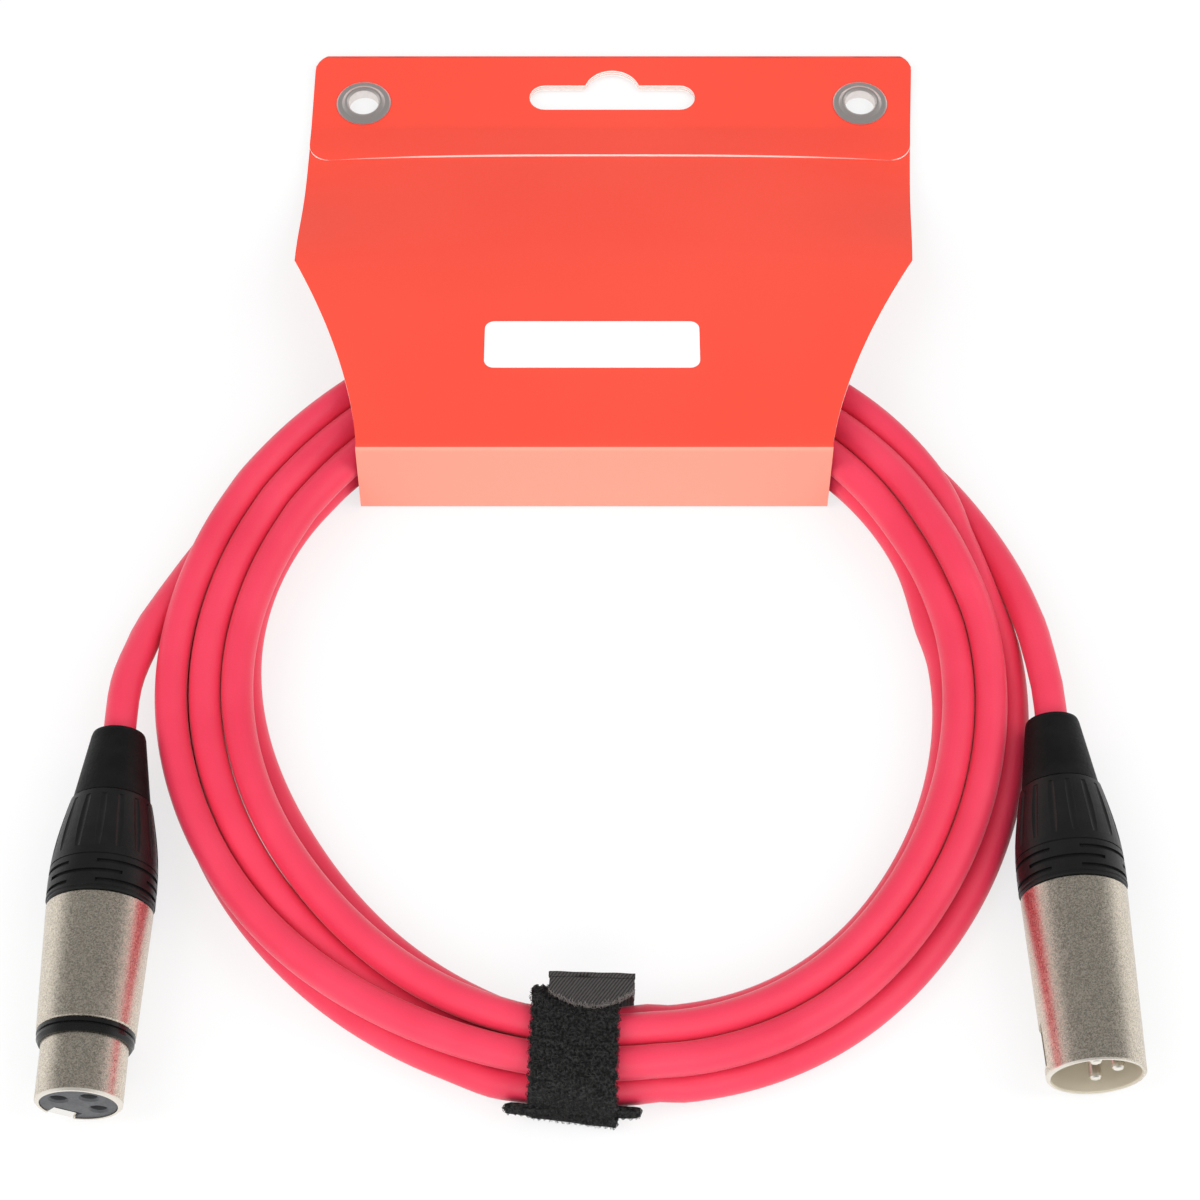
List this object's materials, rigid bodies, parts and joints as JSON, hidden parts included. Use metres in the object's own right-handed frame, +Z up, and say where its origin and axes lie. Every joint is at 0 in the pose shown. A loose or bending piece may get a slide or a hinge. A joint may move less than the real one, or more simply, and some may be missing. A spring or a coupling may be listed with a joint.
{
  "type": "xlr cable coil",
  "caption": "Microphone cable wound into a flat coil, with a female and a male connector, a hook-and-loop tie and a folded hang card with metal eyelets.",
  "frame": {"origin": "centre of the lying coil's footprint, on the surface that it lies on", "axes": "+Z up, +Y from the coil towards the card's hanging edge, +X towards the male connector; both connectors point along -Y"},
  "size_m": [0.2, 0.249, 0.0201],
  "materials": {
    "cable_jacket": "satin moulded rubber, deep red",
    "conductor_insulation": "satin",
    "nickel_shell": "satin nickel plating on a die-cast shell, bright at its rims",
    "latch_steel": "bright",
    "spring_steel": "plain",
    "insert_grey": "moulded",
    "insert_beige": "moulded",
    "contact_gold": "gold plated",
    "contact_silver": "silver plated",
    "chuck_plastic": "moulded",
    "boot_rubber": "soft satin rubber",
    "nut_plastic": "moulded, fine grain",
    "card_stock": "printed card, satin",
    "eyelet_metal": "nickel plated",
    "label_paper": "smooth paper",
    "strap_fabric": "hook-and-loop pile"
  },
  "bodies": {
    "root": {"cable_coil": "cable_jacket", "cable_tail_female": "cable_jacket", "cable_tail_male": "cable_jacket", "cable_end_female": "cable_jacket", "cable_end_male": "cable_jacket", "female_conductors": "conductor_insulation", "male_conductors": "conductor_insulation", "female_shell": "nickel_shell", "female_insert": "insert_grey", "female_sockets": "contact_gold", "female_ring": "boot_rubber", "female_chuck": "chuck_plastic", "male_shell": "nickel_shell", "male_insert": "insert_beige", "male_pins": "contact_silver", "male_chuck": "chuck_plastic"},
    "female_latch": {"female_latch": "latch_steel", "female_latch_spring": "spring_steel"},
    "female_relief": {"female_relief": "boot_rubber"},
    "female_nut": {"female_nut": "nut_plastic"},
    "male_relief": {"male_relief": "boot_rubber"},
    "male_nut": {"male_nut": "nut_plastic"},
    "card": {"card_front_panel": "card_stock", "card_back_panel": "card_stock", "card_header": "card_stock", "eyelet_left": "eyelet_metal", "eyelet_right": "eyelet_metal", "label": "label_paper"},
    "strap": {"strap_band": "strap_fabric"},
    "strap_tab": {"strap_tab": "strap_fabric"}
  },
  "joints": [
    {"name": "female_latch_press", "type": "slide", "parent": "root", "child": "female_latch", "axis": [0.5877, -0.0103, 0.809], "range_m": [0, 0.0012], "stiffness_N_per_m": 1500, "springref_m": -0.001},
    {"name": "female_relief_slide", "type": "slide", "parent": "root", "child": "female_relief", "axis": [0.0175, 0.9998, 0], "range_m": [0, 0.0046]},
    {"name": "female_nut_turn", "type": "hinge", "parent": "female_relief", "child": "female_nut", "pos_m": [-0.08974, -0.0747, 0.01005], "axis": [0.0175, 0.9998, 0], "range_deg": [0, 1080]},
    {"name": "male_relief_slide", "type": "slide", "parent": "root", "child": "male_relief", "axis": [-0.0366, 0.9993, 0], "range_m": [0, 0.0046]},
    {"name": "male_nut_turn", "type": "hinge", "parent": "male_relief", "child": "male_nut", "pos_m": [0.08932, -0.07178, 0.01005], "axis": [-0.0366, 0.9993, 0], "range_deg": [0, 1080]},
    {"name": "card_turn", "type": "hinge", "parent": "root", "child": "card", "pos_m": [0, -0.0364, 0], "axis": [0, 0, 1], "range_deg": [-8, 8]},
    {"name": "strap_slide", "type": "hinge", "parent": "root", "child": "strap", "pos_m": [0, -0.0364, 0], "axis": [0, 0, 1], "range_deg": [-6, 6]},
    {"name": "strap_peel", "type": "hinge", "parent": "strap", "child": "strap_tab", "pos_m": [-0.00203, -0.10089, 0.0166], "axis": [-0.9995, 0.0314, 0], "range_deg": [0, 80]}
  ],
  "couplings": [
    {"joint": "female_relief_slide", "follows": "female_nut_turn", "m_per_rad": 0.00023873},
    {"joint": "male_relief_slide", "follows": "male_nut_turn", "m_per_rad": 0.00023873}
  ]
}
